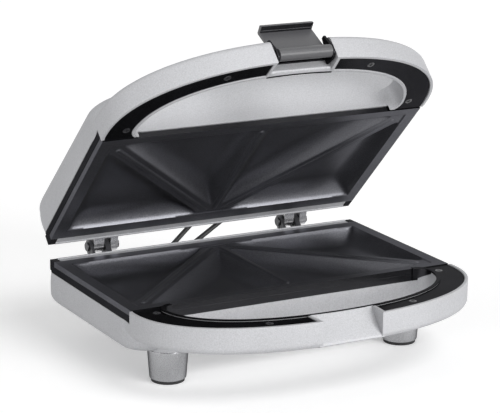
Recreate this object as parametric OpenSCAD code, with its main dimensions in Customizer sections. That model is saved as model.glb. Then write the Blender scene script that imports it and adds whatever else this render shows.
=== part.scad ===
// Two-slice sandwich toaster with a bow handle, a swing-over latch and a lid on two rear hinges.
// Both halves are drawn with their rim in the plane z = 0 and their hollow side down, then put in place:
// the base stands on its feet, and the lid is turned over and swung open about the hinge axis.
// All sizes are in millimetres.

/* [Housing] */
// Width of both housings
body_w = 230; // [210:1:260]
// Depth of both housings, without the bow handle
body_d = 125.5; // [116:0.5:140]
// Depth of the base pan below the rim
base_depth = 30; // [28:0.5:40]
// Rise of the lid above its rim
lid_depth = 38; // [34:0.5:44]
// Radius where the walls of the base turn into its floor
base_floor_r = 8.5; // [6:0.5:12]
// Radius where the walls of the lid turn into its top
lid_floor_r = 12; // [8:0.5:13]
// How far the sides of the base lean in
base_draft = 0.5; // [0:0.5:6]
// How far the sides of the lid lean in
lid_draft = 3; // [0:0.5:6]
// How far the sides swell out below the dark band
swell = 0.9; // [0:0.1:1.5]
// Height of the crown on the lid
lid_crown = 3; // [1:0.5:5]
// Corner radius at the front of a housing
front_r = 14; // [6:0.5:20]
// Corner radius at the back of a housing
back_r = 5; // [3:0.5:10]
// Wall of the pressed housings
wall = 2.2; // [1.6:0.1:3]
// Height of the dark band that shows at the sides, between housing and rim
side_band = 8; // [6:0.5:10]
// Depth of the ledge behind the plate
ledge_d = 7.5; // [6:0.5:10]
// Width of the lip along the back of the ledge
lip_w = 1.8; // [1.2:0.1:2.2]
// Gap between the two rims when the lid is shut
close_gap = 1; // [0.6:0.1:2]

/* [Bow handle] */
// Reach of the bow in front of the housing
bow_reach = 71; // [60:1:80]
// Depth of the bow below the rim
bow_depth = 17; // [14:0.5:19]
// Width of the bow at its middle
bow_w = 16; // [14:0.5:20]
// Width of the bow at its roots
bow_root = 19.5; // [17:0.5:24]
// Roundness of the bow: 2 is an ellipse, larger is squarer
bow_power = 2.25; // [2:0.05:3]
// Radius along the lower edge of the bow
bow_edge_r = 4; // [2:0.5:5]
// Radius in the corners of the finger opening
opening_r = 8; // [4:0.5:10]
// Half width of the latch notch at the outer edge
notch_half = 20.4; // [19:0.1:24]
// How much wider the notch is at the finger opening, on each side
notch_flare = 1.4; // [0:0.1:3]

/* [Plates] */
// Thickness of the cast plates
plate_t = 2.5; // [2:0.1:3]
// Height of the plate's edge flange
plate_edge = 3.6; // [3:0.1:4.5]
// Width of the flat rim in front of the pockets and beside them
plate_rim = 7; // [5:0.5:9]
// Width of the flat rim behind the pockets
back_rim = 9.5; // [5:0.5:11]
// Depth of the triangular pockets
pocket_depth = 9; // [6:0.5:10]
// How far a pocket's walls slope in
pocket_slope = 16; // [10:0.5:18]
// Radius in the corners of the pockets
pocket_r = 5; // [3:0.5:8]
// Width of the ridges between pockets
ridge_w = 6; // [4:0.5:9]
// How far the ridges stand below the rim
ridge_drop = 0.8; // [0.4:0.1:1.5]

/* [Heating] */
// Diameter of the tubular heating elements
element_d = 6.4; // [6:0.1:8]
// Bend radius of the element loop
element_bend = 28; // [22:1:34]
// Straight length of the element loop
element_run = 122; // [100:1:130]
// Thickness of the reflector trays
tray_t = 0.8; // [0.6:0.1:1.2]

/* [Feet] */
// Height of a foot with its pad
foot_h = 21.5; // [16:0.5:30]
// Diameter of a foot where it meets the pan
foot_top_d = 26; // [22:0.5:30]
// Diameter of a foot at its lower end
foot_bottom_d = 23; // [18:0.5:26]
// Distance between the two front feet
front_feet_x = 169; // [150:1:180]
// Distance between the two rear feet
rear_feet_x = 128; // [100:1:180]
// Distance between the front and rear feet
feet_y = 97; // [70:1:98]
// Distance of the front feet behind the front of the housing
feet_in = 10.5; // [10:0.5:20]
// Thickness of the rubber pads
pad_t = 2; // [1.5:0.1:3]

/* [Hinges and latch] */
// Angle at which the lid stands open
open_angle = 44.6; // [0:0.1:95]
// Distance of the hinge axis behind the housings
hinge_back = 10.7; // [9:0.1:16]
// Height of the hinge axis above the base rim
hinge_up = 1.8; // [0.5:0.1:3]
// Distance between the two hinges
hinge_span = 144.8; // [120:0.1:160]
// Length of a hinge
hinge_len = 20; // [18:0.5:30]
// Outer radius of the hinge knuckles
knuckle_r = 4.5; // [4:0.1:5.5]
// Radius of the hinge pins
hinge_pin_r = 2; // [1.5:0.1:2.5]
// Radial running clearance of both pivots
running = 0.06; // [0.02:0.01:0.1]
// Distance of the latch pivot from the outer edge of the bow
pivot_in = 2.5; // [2:0.1:4]
// Height of the latch pivot from the lid's rim
pivot_up = 6.5; // [6:0.1:8]
// Radius of the latch barrel
barrel_r = 4; // [3.5:0.1:4.5]
// Radius of the latch pin
latch_pin_r = 1.5; // [1:0.1:2]
// Angle between the locked latch and the latch swung clear
latch_swing = 198; // [150:1:200]
// Thickness of the latch's plate
latch_t = 2.4; // [2:0.1:3.5]

/* [Cord inlet] */
// Radius of the bore for the mains cord
gland_r = 3.6; // [3:0.1:4.5]
// Length of the gland
gland_len = 14; // [10:0.5:16]
// Position of the gland from the middle
gland_x = 42; // [30:1:60]
// Length of the gland inside the housing's back
gland_in = 6.2; // [5.8:0.1:7]
// Depth of the gland below the rim
gland_z = 15; // [14.5:0.5:20]

/* [Hidden] */
$fn = 48;

// Clearance between pieces that only pass each other
gap = 0.3;
// Overlap that keeps cuts and joined solids clean
eps = 0.5;

pan_front = -body_d / 2;
pan_back = body_d / 2;
rim_z = base_depth + foot_h;
// The bow springs from the housing this far in front of it
bow_start = 3;
bow_a = body_w / 2 + 1;
bow_b = bow_reach - bow_start;
// Its ends run into the housing's sides up to here, narrowing by the taper
bow_end = 34;
bow_taper = 5;
hole_a = bow_a - bow_root - 1.5;
hole_b = bow_b - bow_w;
// Shell above the side band starts this far in front of the housing
step_front = 0.8;
// Height of the band at the front of the lid, where the housing's front wall stands higher
lid_front_band = 4;

// Plate
plate_front = pan_front + 0.6;
plate_back = pan_back - ledge_d;
plate_x = body_w / 2 - 0.6;
pocket_x = plate_x - plate_rim - 1.4;
pocket_front = plate_front + plate_rim;
pocket_back = plate_back - back_rim;
plate_low = pocket_depth + plate_t;
element_z = -plate_low - element_d / 2;
tray_z = element_z - element_d / 2 - 1;
post_r = 3.5;
lip_up = 0.3;
ledge_low = 0.4;
posts = [[-pocket_x + 6.5, pocket_front + 6.5], [pocket_x - 6.5, pocket_front + 6.5], [0, pocket_back - 6]];

// Frame
frame_in = 4.8;
arm_top = -0.6;
arm_t = 5;
screw_r = 1.4;
head_r = 2.4;
head_t = 1.2;

// Hinges: where each knuckle starts and ends, as parts of half a hinge's length
hinge_y = pan_back + hinge_back;
hinge_half = hinge_len / 2;
base_knuckles = [[-1, -0.8], [0.04, 0.4]] * hinge_half;
lid_knuckles = [[-0.76, 0], [0.44, 1]] * hinge_half;

// Latch
pivot_f = bow_reach - pivot_in;
latch_half = notch_half - 2.1;
lip_top = pivot_up + close_gap + bow_depth + 0.4;
lip_t = 2.8;
lip_reach = 7.4;
cheek_t = 1.5;
lid_notch_wall = pivot_f - 10;

// Furthest point of the open lid behind the hinge: the curved edge at its back
lid_back = hinge_y + lid_floor_r - (hinge_back + lid_floor_r) * cos(open_angle)
    + (lid_depth - lid_crown - lid_floor_r + close_gap - hinge_up) * sin(open_angle);
// The origin is under the middle of the whole outline, between the bow's front and the furthest point behind
y_mid = (pan_front - bow_reach + max(hinge_y + knuckle_r, lid_back)) / 2;

// ---- outlines and lofts ----

// Points of an arc, both ends included
function arc(c, r, a0, a1, n) = [for (i = [0:n]) let (a = a0 + (a1 - a0) * i / n) c + r * [cos(a), sin(a)]];

// Outline of a housing, drawn in by i; its sides lean in further by lean at the front and by tail at the back
function pan_outline(i, lean = 0, tail = 0) =
    let (x = body_w / 2 - i, y0 = pan_front + i, y1 = pan_back - i - max(tail, 0),
         rf = min(front_r + i * 0.3, y1 - 1), rb = min(back_r + i * 0.5, y1 - 1),
         xf = x - lean - rf, xb = x - tail - rb)
    concat(
        arc([xf, y0 + rf], rf, -90, 0, 7), arc([xb, y1 - rb], rb, 0, 90, 5),
        arc([-xb, y1 - rb], rb, 90, 180, 5), arc([-xf, y0 + rf], rf, 180, 270, 7));

// Outline of the bow: the front half of a superellipse, closed inside the housing, narrower there by taper
function bow_outline(a, b, back, taper = 0, n = 48) =
    let (p = 2 / bow_power)
    concat(
        [for (k = [0:n]) let (t = 180 * k / n)
            [-a * sign(cos(t)) * pow(abs(cos(t)), p), pan_front - bow_start - b * pow(abs(sin(t)), p)]],
        [[a - taper, pan_front + back], [-a + taper, pan_front + back]]);

// A point on the middle of the right bow, as [x, forward], and the four screws that hold a frame
function on_bow(t) = [
    (bow_a - bow_root * 0.75) * pow(cos(t), 2 / bow_power),
    bow_start + (bow_b - bow_w / 2) * pow(sin(t), 2 / bow_power)];
frame_screws = [for (t = [4, 63], s = [-1, 1]) [s * on_bow(t)[0], on_bow(t)[1]]];

function at_height(outline, z) = [for (p = outline) [p[0], p[1], z]];

// A solid through a stack of rings with equal point counts, lowest ring first
module loft(rings) {
    n = len(rings[0]);
    m = len(rings);
    polyhedron(
        points = [for (r = rings) each r],
        faces = concat(
            [[for (i = [0:n - 1]) i]],
            [for (k = [0:m - 2], i = [0:n - 1]) let (j = (i + 1) % n)
                each [[k * n + i, (k + 1) * n + i, (k + 1) * n + j], [k * n + i, (k + 1) * n + j, k * n + j]]],
            [[for (i = [n - 1:-1:0]) (m - 1) * n + i]]));
}

// Section of a housing below the side band, as [inset, lean, tail, depth], from the band to the crown
function pan_section(depth, draft, crown, r) =
    let (tail = draft / 2 - swell)
    concat(
        [[0, 0, 0, side_band], [0, draft / 4 - swell / 2, -swell, side_band + 4]],
        [for (k = [0:5]) let (a = 18 * k) [r * (1 - cos(a)), draft, tail, depth - crown - r * (1 - sin(a))]],
        crown > 0 ? [for (s = [0.25, 0.55, 1]) [r + s * 40, draft, tail, depth - crown * pow(1 - s, 2)]] : []);

// A housing's outer form, or with an inset its inner form, open side up
module pan(depth, draft, crown, r, inset, top) {
    section = pan_section(depth, draft, crown, r);
    loft(concat(
        [for (k = [len(section) - 1:-1:0])
            at_height(pan_outline(section[k][0] + inset, section[k][1], section[k][2]),
                -section[k][3] + (k > 1 ? inset : 0))],
        [at_height(pan_outline(inset), top)]));
}

// The bow's outer or inner form
module bow(inset, top) {
    bottom = -bow_depth + inset;
    r = max(bow_edge_r - inset, 0.8);
    rings = concat(
        [for (k = [0:4]) let (a = 22.5 * k, i = inset + r * (1 - sin(a)))
            at_height(bow_outline(bow_a - i, bow_b - i, bow_end, bow_taper), bottom + r * (1 - cos(a)))],
        [at_height(bow_outline(bow_a - inset, bow_b - inset, bow_end, bow_taper), top)]);
    loft(rings);
}

// Outline of the finger opening between bow and housing, grown by g
module finger_opening(g) {
    offset(r = opening_r + g, $fn = 32)
        offset(delta = -opening_r)
            difference() {
                polygon(bow_outline(hole_a, hole_b, 20));
                translate([-body_w, pan_front])
                    square([2 * body_w, 40]);
            }
}

module along_bow(f0, f1, z0, z1, half) {
    translate([-half, pan_front - f1, z0])
        cube([2 * half, f1 - f0, z1 - z0]);
}

// Extrude a profile given in (forward, up) along x
module bow_profile(points, half) {
    translate([-half, pan_front, 0])
        rotate([90, 0, 90])
            linear_extrude(2 * half)
                polygon([for (p = points) [-p[0], p[1]]]);
}

// Plan of the notch's flared sides
module notch_plan(half, flare, f0, f1) {
    translate([0, pan_front])
        polygon([[-half - flare, -f0], [-half, -f1], [half, -f1], [half + flare, -f0]]);
}

// ---- housings ----

// One pressed housing with its bow handle; notch_points is the notch's section, lead_holes where its leads leave,
// and children stand on its outside
module housing(depth, draft, crown, r, front_band, notch_points, lead_holes) {
    difference() {
        union() {
            pan(depth, draft, crown, r, 0, 0);
            bow(0, 0);
            children();
        }
        pan(depth, draft, crown, r, wall, 1);
        difference() {
            bow(wall, 1);
            translate([0, 0, -depth - 1])
                linear_extrude(depth + 3) {
                    finger_opening(wall - 0.2);
                    translate([-body_w / 2, pan_front - 0.2])
                        square([body_w, 60]);
                }
            translate([0, 0, -depth])
                linear_extrude(depth + 3)
                    notch_plan(notch_half + wall, notch_flare, hole_b, bow_reach + 5);
            for (s = frame_screws)
                translate([s[0], pan_front - s[1], -bow_depth])
                    cylinder(r = 3.2, h = bow_depth + arm_top - arm_t);
        }
        for (s = frame_screws)
            translate([s[0], pan_front - s[1], -bow_depth + wall])
                cylinder(r = screw_r + 0.1, h = bow_depth, $fn = 24);
        translate([0, 0, -depth - 1])
            linear_extrude(depth + 3)
                finger_opening(0);
        side_step(front_band);
        intersection() {
            bow_profile(notch_points, 40);
            translate([0, 0, -depth])
                linear_extrude(depth + 3)
                    notch_plan(notch_half, notch_flare, hole_b, bow_reach + 5);
        }
        for (x = lead_holes)
            translate([x, pan_back - 8, -lead_z])
                rotate([-90, 0, 0])
                    cylinder(r = lead_r + 0.8, h = 12, $fn = 24);
    }
    ledge();
}

// What is cut away above the side band, up to the rim
module side_step(front_band) {
    half = body_w / 2 - front_r;
    translate([-body_w, pan_front - step_front, -front_band])
        cube([2 * body_w, 2 * body_d, side_band + 5]);
    for (s = [-1, 1])
        translate([s > 0 ? half : -half - body_w, pan_front - step_front, -side_band])
            cube([body_w, 2 * body_d, side_band + 5]);
    translate([-body_w, pan_front + wall, -side_band])
        cube([2 * body_w, 2 * body_d, side_band + 5]);
}

// Ledge behind the plate, a little below the rim, with a lip along its back
module ledge() {
    half = body_w / 2 - back_r - 0.5;
    translate([-half, pan_back - lip_w, -side_band - eps])
        cube([2 * half, lip_w, side_band + eps + lip_up]);
    translate([-half, plate_back + gap, -ledge_low - wall])
        cube([2 * half, ledge_d - gap, wall]);
}

// ---- frames ----

// Black frame: a band under the plate's edge and two arms that close the bow
module frame(front_band) {
    x = body_w / 2 - 0.4;
    difference() {
        union() {
            frame_band(x);
            bow_arms();
        }
        for (s = frame_screws)
            translate([s[0], pan_front - s[1], -20]) {
                cylinder(r = screw_r + 0.3, h = 30, $fn = 24);
                translate([0, 0, 20 + arm_top - head_t])
                    cylinder(r = head_r + 0.2, h = 5, $fn = 24);
            }
        if (front_band < side_band)
            front_wall_room(body_w / 2 - front_r + gap, front_band);
    }
}

// Band under the plate's edge, with a block at each rear corner
module frame_band(x) {
    y0 = pan_front + 0.4;
    y1 = pan_back - 0.4 - wall;
    block_y = plate_back + gap;
    translate([0, 0, -side_band])
        linear_extrude(side_band - plate_edge)
            difference() {
                polygon([[-x, y0], [x, y0], [x, y1], [-x, y1]]);
                polygon([
                    [-x + frame_in, y0 + frame_in], [x - frame_in, y0 + frame_in],
                    [x - frame_in, plate_back - frame_in], [-x + frame_in, plate_back - frame_in]]);
            }
    for (s = [0, 1])
        mirror([s, 0, 0])
            translate([0, 0, -side_band + 1])
                linear_extrude(side_band - 1)
                    polygon([
                        [x - back_r, block_y], [x - 0.2, block_y], [x - 0.2, y1 + wall], [x - back_r, y1 + wall]]);
}

// Room for a housing's front wall that stands above the side band
module front_wall_room(half, front_band) {
    y0 = pan_front - step_front - gap;
    y1 = pan_front + wall + gap;
    translate([-half, y0, -bow_depth])
        cube([2 * half, y1 - y0, bow_depth - front_band + gap / 2]);
    translate([-half, plate_front - gap, -bow_depth])
        cube([2 * half, y1 - plate_front + gap, bow_depth + 5]);
}

module bow_arms() {
    difference() {
        translate([0, 0, arm_top - arm_t])
            linear_extrude(arm_t)
                difference() {
                    polygon(bow_outline(bow_a - wall - gap, bow_b - wall - gap, -0.9 + 3));
                    finger_opening(wall + 0.1);
                    notch_plan(notch_half + wall + gap, notch_flare, hole_b - 10, bow_reach + 5);
                    translate([-hole_a, pan_front - 2])
                        square([2 * hole_a, 10]);
                }
        translate([-body_w, plate_front - gap, -plate_edge])
            cube([2 * body_w, 20, 20]);
    }
}

// ---- plates ----

// Corners of the two pockets in the right half, anticlockwise
outer_pocket = [
    [pocket_x, pocket_front + ridge_w * 1.2], [pocket_x, pocket_back],
    [ridge_w / 2 + ridge_w * 1.2, pocket_back]];
inner_pocket = [
    [ridge_w / 2, pocket_front], [pocket_x - ridge_w * 1.2, pocket_front],
    [ridge_w / 2, pocket_back - ridge_w * 1.2]];

function unit(v) = v / norm(v);
function heading(v) = atan2(v[1], v[0]);

// Corner i of triangle t, moved in so that both its edges lie d further inside
function inner_corner(t, i, d) =
    let (u = unit(t[(i + 1) % 3] - t[i]), w = unit(t[(i + 2) % 3] - t[i]))
    t[i] + (u + w) * d / norm(cross([u[0], u[1], 0], [w[0], w[1], 0]));

// Triangle t drawn in by d on every side, its corners rounded by r
function soft_triangle(t, d, r) = [
    for (i = [0:2])
        let (a0 = heading(t[i] - t[(i + 2) % 3]) - 90, turn = heading(t[(i + 1) % 3] - t[i]) - 90 - a0)
        each arc(inner_corner(t, i, d + r), r, a0, a0 + (turn < 0 ? turn + 360 : turn), 7)];

// How far a pocket's wall moves in for each millimetre of depth
pocket_lean = pocket_slope / (pocket_depth - ridge_drop);

// The hollow of a pocket
module pocket_hollow(t) {
    loft([
        at_height(soft_triangle(t, pocket_slope, pocket_r), -pocket_depth),
        at_height(soft_triangle(t, -pocket_lean * 1.2, pocket_r), -ridge_drop + 1.2)]);
}

// The bulge under a pocket, one plate thickness outside its hollow
module pocket_bulge(t) {
    rise = plate_edge - 0.8;
    loft([
        at_height(soft_triangle(t, pocket_lean * (plate_low - plate_edge), pocket_r), -plate_low),
        at_height(soft_triangle(t, pocket_lean * (rise - plate_edge), pocket_r), -rise)]);
}

module four_pockets() {
    for (s = [0, 1])
        mirror([s, 0, 0])
            children();
}

// Cast plate with four triangular pockets and screw posts below
module plate() {
    difference() {
        union() {
            translate([-plate_x, plate_front, -plate_edge])
                cube([2 * plate_x, plate_back - plate_front, plate_edge]);
            four_pockets() {
                pocket_bulge(outer_pocket);
                pocket_bulge(inner_pocket);
            }
            for (p = posts)
                translate([p[0], p[1], tray_z])
                    cylinder(r = post_r, h = -tray_z - 2, $fn = 32);
            translate([0, 0, -plate_edge - 5])
                cylinder(r = 4, h = 7, $fn = 32);
        }
        translate([-pocket_x, pocket_front, -ridge_drop])
            cube([2 * pocket_x, pocket_back - pocket_front, 5]);
        four_pockets() {
            pocket_hollow(outer_pocket);
            pocket_hollow(inner_pocket);
        }
        for (p = posts)
            translate([p[0], p[1], tray_z - 1])
                cylinder(r = screw_r, h = 9, $fn = 24);
    }
}

// ---- heating ----

// Tubular element: a race-track loop with two legs that pass down through the tray
module element() {
    r = element_d / 2;
    half = element_run / 2;
    leg_x = 14;
    bend = 7;
    translate([0, 0, element_z]) {
        for (s = [-1, 1]) {
            translate([s * half, 0, 0])
                rotate([0, 0, s > 0 ? -90 : 90])
                    rotate_extrude(angle = 180)
                        translate([element_bend, 0])
                            circle(r = r, $fn = 24);
            translate([s * half, element_bend, 0])
                rotate([0, -s * 90, 0])
                    cylinder(r = r, h = half - leg_x, $fn = 24);
            translate([s * leg_x, element_bend, -bend])
                rotate([90, 0, 0])
                    rotate([0, 0, s > 0 ? 90 : 0])
                        rotate_extrude(angle = 90)
                            translate([bend, 0])
                                circle(r = r, $fn = 24);
            translate([s * (leg_x - bend), element_bend, -bend - 2])
                cylinder(r = r, h = 2, $fn = 24);
            translate([s * (leg_x - bend), element_bend, -bend - 5])
                cylinder(r = r * 0.5, h = 3, $fn = 24);
        }
        translate([-half, -element_bend, 0])
            rotate([0, 90, 0])
                cylinder(r = r, h = 2 * half, $fn = 24);
    }
}

// Folded tray that throws the heat back at the plate
module reflector() {
    x = pocket_x - 1;
    y0 = pocket_front + 0.5;
    y1 = pocket_back + 1;
    rise = 5;
    difference() {
        translate([-x, y0, tray_z - tray_t])
            cube([2 * x, y1 - y0, rise]);
        translate([-x + tray_t, y0 + tray_t, tray_z])
            cube([2 * (x - tray_t), y1 - y0 - 2 * tray_t, rise]);
        for (p = posts)
            translate([p[0], p[1], tray_z - 5])
                cylinder(r = screw_r + 0.3, h = 10, $fn = 24);
        for (s = [-1, 1])
            translate([s * 7, element_bend, tray_z - 5])
                cylinder(r = element_d / 2 + 2, h = 10, $fn = 24);
    }
}

// Screws that hold a tray to the plate's posts
module plate_screws() {
    for (p = posts)
        translate([p[0], p[1], tray_z - tray_t]) {
            cylinder(r = screw_r - 0.05, h = 7, $fn = 24);
            translate([0, 0, -1.8])
                cylinder(r = 3, h = 1.8, $fn = 24);
        }
}

module frame_screw_set() {
    for (s = frame_screws)
        translate([s[0], pan_front - s[1], arm_top - head_t]) {
            difference() {
                cylinder(r = head_r, h = head_t, $fn = 24);
                translate([0, 0, head_t - 0.5]) {
                    cube([3, 0.7, 2], center = true);
                    cube([0.7, 3, 2], center = true);
                }
            }
            translate([0, 0, -arm_t - 4])
                cylinder(r = screw_r, h = arm_t + 4, $fn = 24);
        }
}

// ---- hinges ----

// Half of a hinge: knuckles on a plate against the housing's back wall; up is the axis above this half's rim
module hinge_half_part(knuckles, up, bore) {
    x0 = min([for (k = knuckles) k[0]]);
    x1 = max([for (k = knuckles) k[1]]);
    foot_low = -13;
    foot_high = -3.5;
    difference() {
        union() {
            for (k = knuckles)
                translate([k[0], 0, 0])
                    rotate([90, 0, 90])
                        linear_extrude(k[1] - k[0]) {
                            translate([hinge_y, up])
                                circle(r = knuckle_r);
                            polygon([
                                [pan_back, foot_high], [pan_back, foot_low], [pan_back + 2.5, foot_low],
                                [hinge_y + knuckle_r * 0.62, up - knuckle_r * 0.78],
                                [hinge_y - knuckle_r * 0.8, up + knuckle_r * 0.6]]);
                        }
            translate([x0, pan_back, foot_low])
                cube([x1 - x0, 2.5, foot_high - foot_low]);
        }
        translate([x0 - 1, hinge_y, up])
            rotate([0, 90, 0])
                cylinder(r = bore, h = x1 - x0 + 2, $fn = 32);
    }
}

module hinge_pin() {
    head_t = 1.2;
    translate([-hinge_half - head_t, hinge_y, hinge_up])
        rotate([0, 90, 0]) {
            cylinder(r = hinge_pin_r, h = 2 * hinge_half + 2 * head_t + gap, $fn = 32);
            cylinder(r = hinge_pin_r + 1, h = head_t, $fn = 32);
            translate([0, 0, 2 * hinge_half + head_t + gap])
                cylinder(r = hinge_pin_r + 1, h = head_t, $fn = 32);
        }
}

// ---- feet ----

module foot_at(sx, sy) {
    half = (sy < 0 ? front_feet_x : rear_feet_x) / 2;
    translate([sx * half, pan_front + feet_in + (sy < 0 ? 0 : feet_y), -base_depth - foot_h])
        children();
}

module foot() {
    difference() {
        translate([0, 0, pad_t])
            cylinder(d1 = foot_bottom_d, d2 = foot_top_d, h = foot_h - pad_t, $fn = 64);
        translate([0, 0, pad_t - eps])
            cylinder(r = 4, h = 6 + eps, $fn = 32);
        cylinder(r = screw_r + 0.3, h = foot_h + 2, $fn = 24);
    }
}

module pad() {
    cylinder(d = foot_bottom_d - 2, h = pad_t, $fn = 48);
}

module foot_screw() {
    translate([0, 0, pad_t + 4])
        cylinder(r = 3, h = 2, $fn = 24);
    translate([0, 0, pad_t + 6])
        cylinder(r = screw_r, h = foot_h - pad_t - 6 + 6, $fn = 24);
}

// ---- placing ----

// Base half: from its own frame onto the feet
module in_base() {
    translate([0, -y_mid, rim_z])
        children();
}

// Lid half: turned over, shut on the base, then swung open
module in_lid() {
    in_base()
        translate([0, hinge_y, hinge_up])
            rotate([-open_angle, 0, 0])
                translate([0, -hinge_y, close_gap - hinge_up])
                    mirror([0, 0, 1])
                        children();
}

// ---- base nodes ----

base_notch = [[hole_b + bow_start, 5], [hole_b + bow_start, 0], [bow_reach - 1.5, -bow_depth + 2.5],
    [bow_reach - 1.5, -60], [bow_reach + 20, -60], [bow_reach + 20, 5]];
lid_notch = [[hole_b + bow_start, 5], [hole_b + bow_start, 0], [lid_notch_wall, -4.5],
    [lid_notch_wall, -60], [bow_reach + 20, -60], [bow_reach + 20, 5]];

module base_shell() {
    color("silver") in_base()
        difference() {
            union() {
                housing(base_depth, base_draft, 0, base_floor_r, side_band, base_notch, base_lead_x)
                    foot_seats();
                foot_bosses();
            }
            translate([gland_x, pan_back - 12, -gland_z])
                rotate([-90, 0, 0])
                    cylinder(r = gland_r + 1.6, h = 20, $fn = 48);
            for (sx = [-1, 1], sy = [-1, 1])
                foot_at(sx, sy)
                    cylinder(r = screw_r + 0.1, h = foot_h + 7, $fn = 24);
        }
}

// Raised seats that carry the feet round the pan's curved edge
module foot_seats() {
    for (sx = [-1, 1], sy = [-1, 1])
        foot_at(sx, sy)
            translate([0, 0, foot_h])
                cylinder(d1 = foot_top_d, d2 = foot_top_d + 1.5, h = base_floor_r, $fn = 64);
}

module foot_bosses() {
    for (sx = [-1, 1], sy = [-1, 1])
        foot_at(sx, sy)
            translate([0, 0, foot_h + wall - eps])
                cylinder(r = 4.5, h = 6, $fn = 32);
}

module base_frame() {
    color("#1b1b1d") in_base() frame(side_band);
}

module lower_plate() {
    color("#2b2b2f") in_base() plate();
}

module lower_heater() {
    color("#5b5650") in_base() element();
}

module lower_reflector() {
    color("lightgray") in_base() reflector();
}

module lower_plate_screws() {
    color("gray") in_base() plate_screws();
}

// Disc thermostat clamped under the middle of the lower plate
module thermostat() {
    color("tan") in_base()
        translate([0, 0, -plate_edge - 5]) {
            translate([0, 0, -6])
                cylinder(r = 8, h = 6, $fn = 48);
            translate([-11, -3, -2.5])
                cube([22, 6, 0.8]);
        }
}

// Thermal fuse in a sleeve, lying in the tray
module thermal_fuse() {
    color("white") in_base()
        translate([34, -9, tray_z + 2.3])
            rotate([-90, 0, 0]) {
                cylinder(r = 2.3, h = 18, $fn = 24);
                translate([0, 0, -5])
                    cylinder(r = 0.6, h = 28, $fn = 16);
            }
}

// Terminal block on the pan's floor, in front of the gland
module terminal_block() {
    color("ivory") in_base()
        difference() {
            translate([gland_x - 13, pan_back - 32, -base_depth + wall])
                cube([26, 12, 5]);
            for (x = [-8, 0, 8])
                translate([gland_x + x, pan_back - 26, -base_depth + wall + 1.5])
                    cylinder(r = 2.2, h = 5, $fn = 24);
        }
}

module cord_gland() {
    color("#1b1b1d") in_base()
        translate([gland_x, pan_back, -gland_z])
            rotate([-90, 0, 0])
                difference() {
                    union() {
                        translate([0, 0, -gland_in])
                            cylinder(r = gland_r + 1.4, h = gland_in + 1, $fn = 48);
                        cylinder(r1 = gland_r + 3.6, r2 = gland_r + 1.8, h = gland_len - gland_in, $fn = 48);
                        translate([0, 0, -gland_in])
                            cylinder(r = gland_r + 2.2, h = 2.6, $fn = 48);
                    }
                    translate([0, 0, -gland_in - 1])
                        cylinder(r = gland_r, h = gland_len + 2, $fn = 48);
                }
}

module base_frame_screws() {
    color("gray") in_base() frame_screw_set();
}

module foot_front_left() {
    color("silver") in_base() foot_at(-1, -1) foot();
}

module foot_front_right() {
    color("silver") in_base() foot_at(1, -1) foot();
}

module foot_rear_left() {
    color("silver") in_base() foot_at(-1, 1) foot();
}

module foot_rear_right() {
    color("silver") in_base() foot_at(1, 1) foot();
}

module pad_front_left() {
    color("#3a3a3a") in_base() foot_at(-1, -1) pad();
}

module pad_front_right() {
    color("#3a3a3a") in_base() foot_at(1, -1) pad();
}

module pad_rear_left() {
    color("#3a3a3a") in_base() foot_at(-1, 1) pad();
}

module pad_rear_right() {
    color("#3a3a3a") in_base() foot_at(1, 1) pad();
}

module foot_screws() {
    color("gray") in_base()
        for (sx = [-1, 1], sy = [-1, 1])
            foot_at(sx, sy)
                foot_screw();
}

module base_hinge(s) {
    color("#2a2a2c") in_base()
        translate([s * hinge_span / 2, 0, 0])
            hinge_half_part(base_knuckles, hinge_up, hinge_pin_r);
}

module hinge_pin_side(s) {
    color("silver") in_base()
        translate([s * hinge_span / 2, 0, 0])
            hinge_pin();
}

// ---- leads from base to lid ----

lead_r = 1.5;
// Depth below each rim at which the leads leave the housings
lead_z = 10;
base_lead_x = [-30, -16];
lid_lead_x = [1, 27];
// How far the leads reach into the housings and out behind them
lead_in = 10;
lead_out = 5.5;

// A point of the lid's own frame, seen from the base with the lid standing open
function from_lid(p) =
    let (y = p[1] - hinge_y, z = close_gap - hinge_up - p[2])
    [p[0], hinge_y + y * cos(open_angle) + z * sin(open_angle),
        hinge_up - y * sin(open_angle) + z * cos(open_angle)];

// Route of a lead: out of the base's back wall, straight across the gap and into the lid's back wall
function lead_route(k) =
    let (base_in = [base_lead_x[k], pan_back - lead_in, -lead_z],
         base_out = [base_lead_x[k], pan_back + lead_out, -lead_z],
         lid_out = from_lid([lid_lead_x[k], pan_back + lead_out, -lead_z]),
         lid_in = from_lid([lid_lead_x[k], pan_back - lead_in, -lead_z]))
    [base_in, base_out, base_out * 0.8 + lid_out * 0.2, base_out * 0.2 + lid_out * 0.8, lid_out, lid_in];

module lead(k) {
    n = 8;
    pts = smooth_route(lead_route(k));
    rings = [for (i = [0:len(pts) - 1])
        let (a = pts[max(i - 1, 0)], b = pts[min(i + 1, len(pts) - 1)], d = (b - a) / norm(b - a),
             u = cross(d, [0, 0, 1]) / norm(cross(d, [0, 0, 1])), v = cross(u, d))
        [for (k = [0:n - 1]) pts[i] + lead_r * (cos(-360 * k / n) * u + sin(-360 * k / n) * v)]];
    loft(rings);
}

// Rounds a route by cutting its corners twice
function smooth_route(p) = cut_corners(cut_corners(p));
function cut_corners(p) = concat(
    [p[0]],
    [for (i = [0:len(p) - 2]) each [p[i] * 0.75 + p[i + 1] * 0.25, p[i] * 0.25 + p[i + 1] * 0.75]],
    [p[len(p) - 1]]);

module lead_left() {
    color("#141414") in_base() lead(0);
}

module lead_right() {
    color("#141414") in_base() lead(1);
}

// ---- lid nodes ----

lens_in = 34;
lens_y = pan_front + lens_in;
lens_x = 12;
lens_r = 4;

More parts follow.
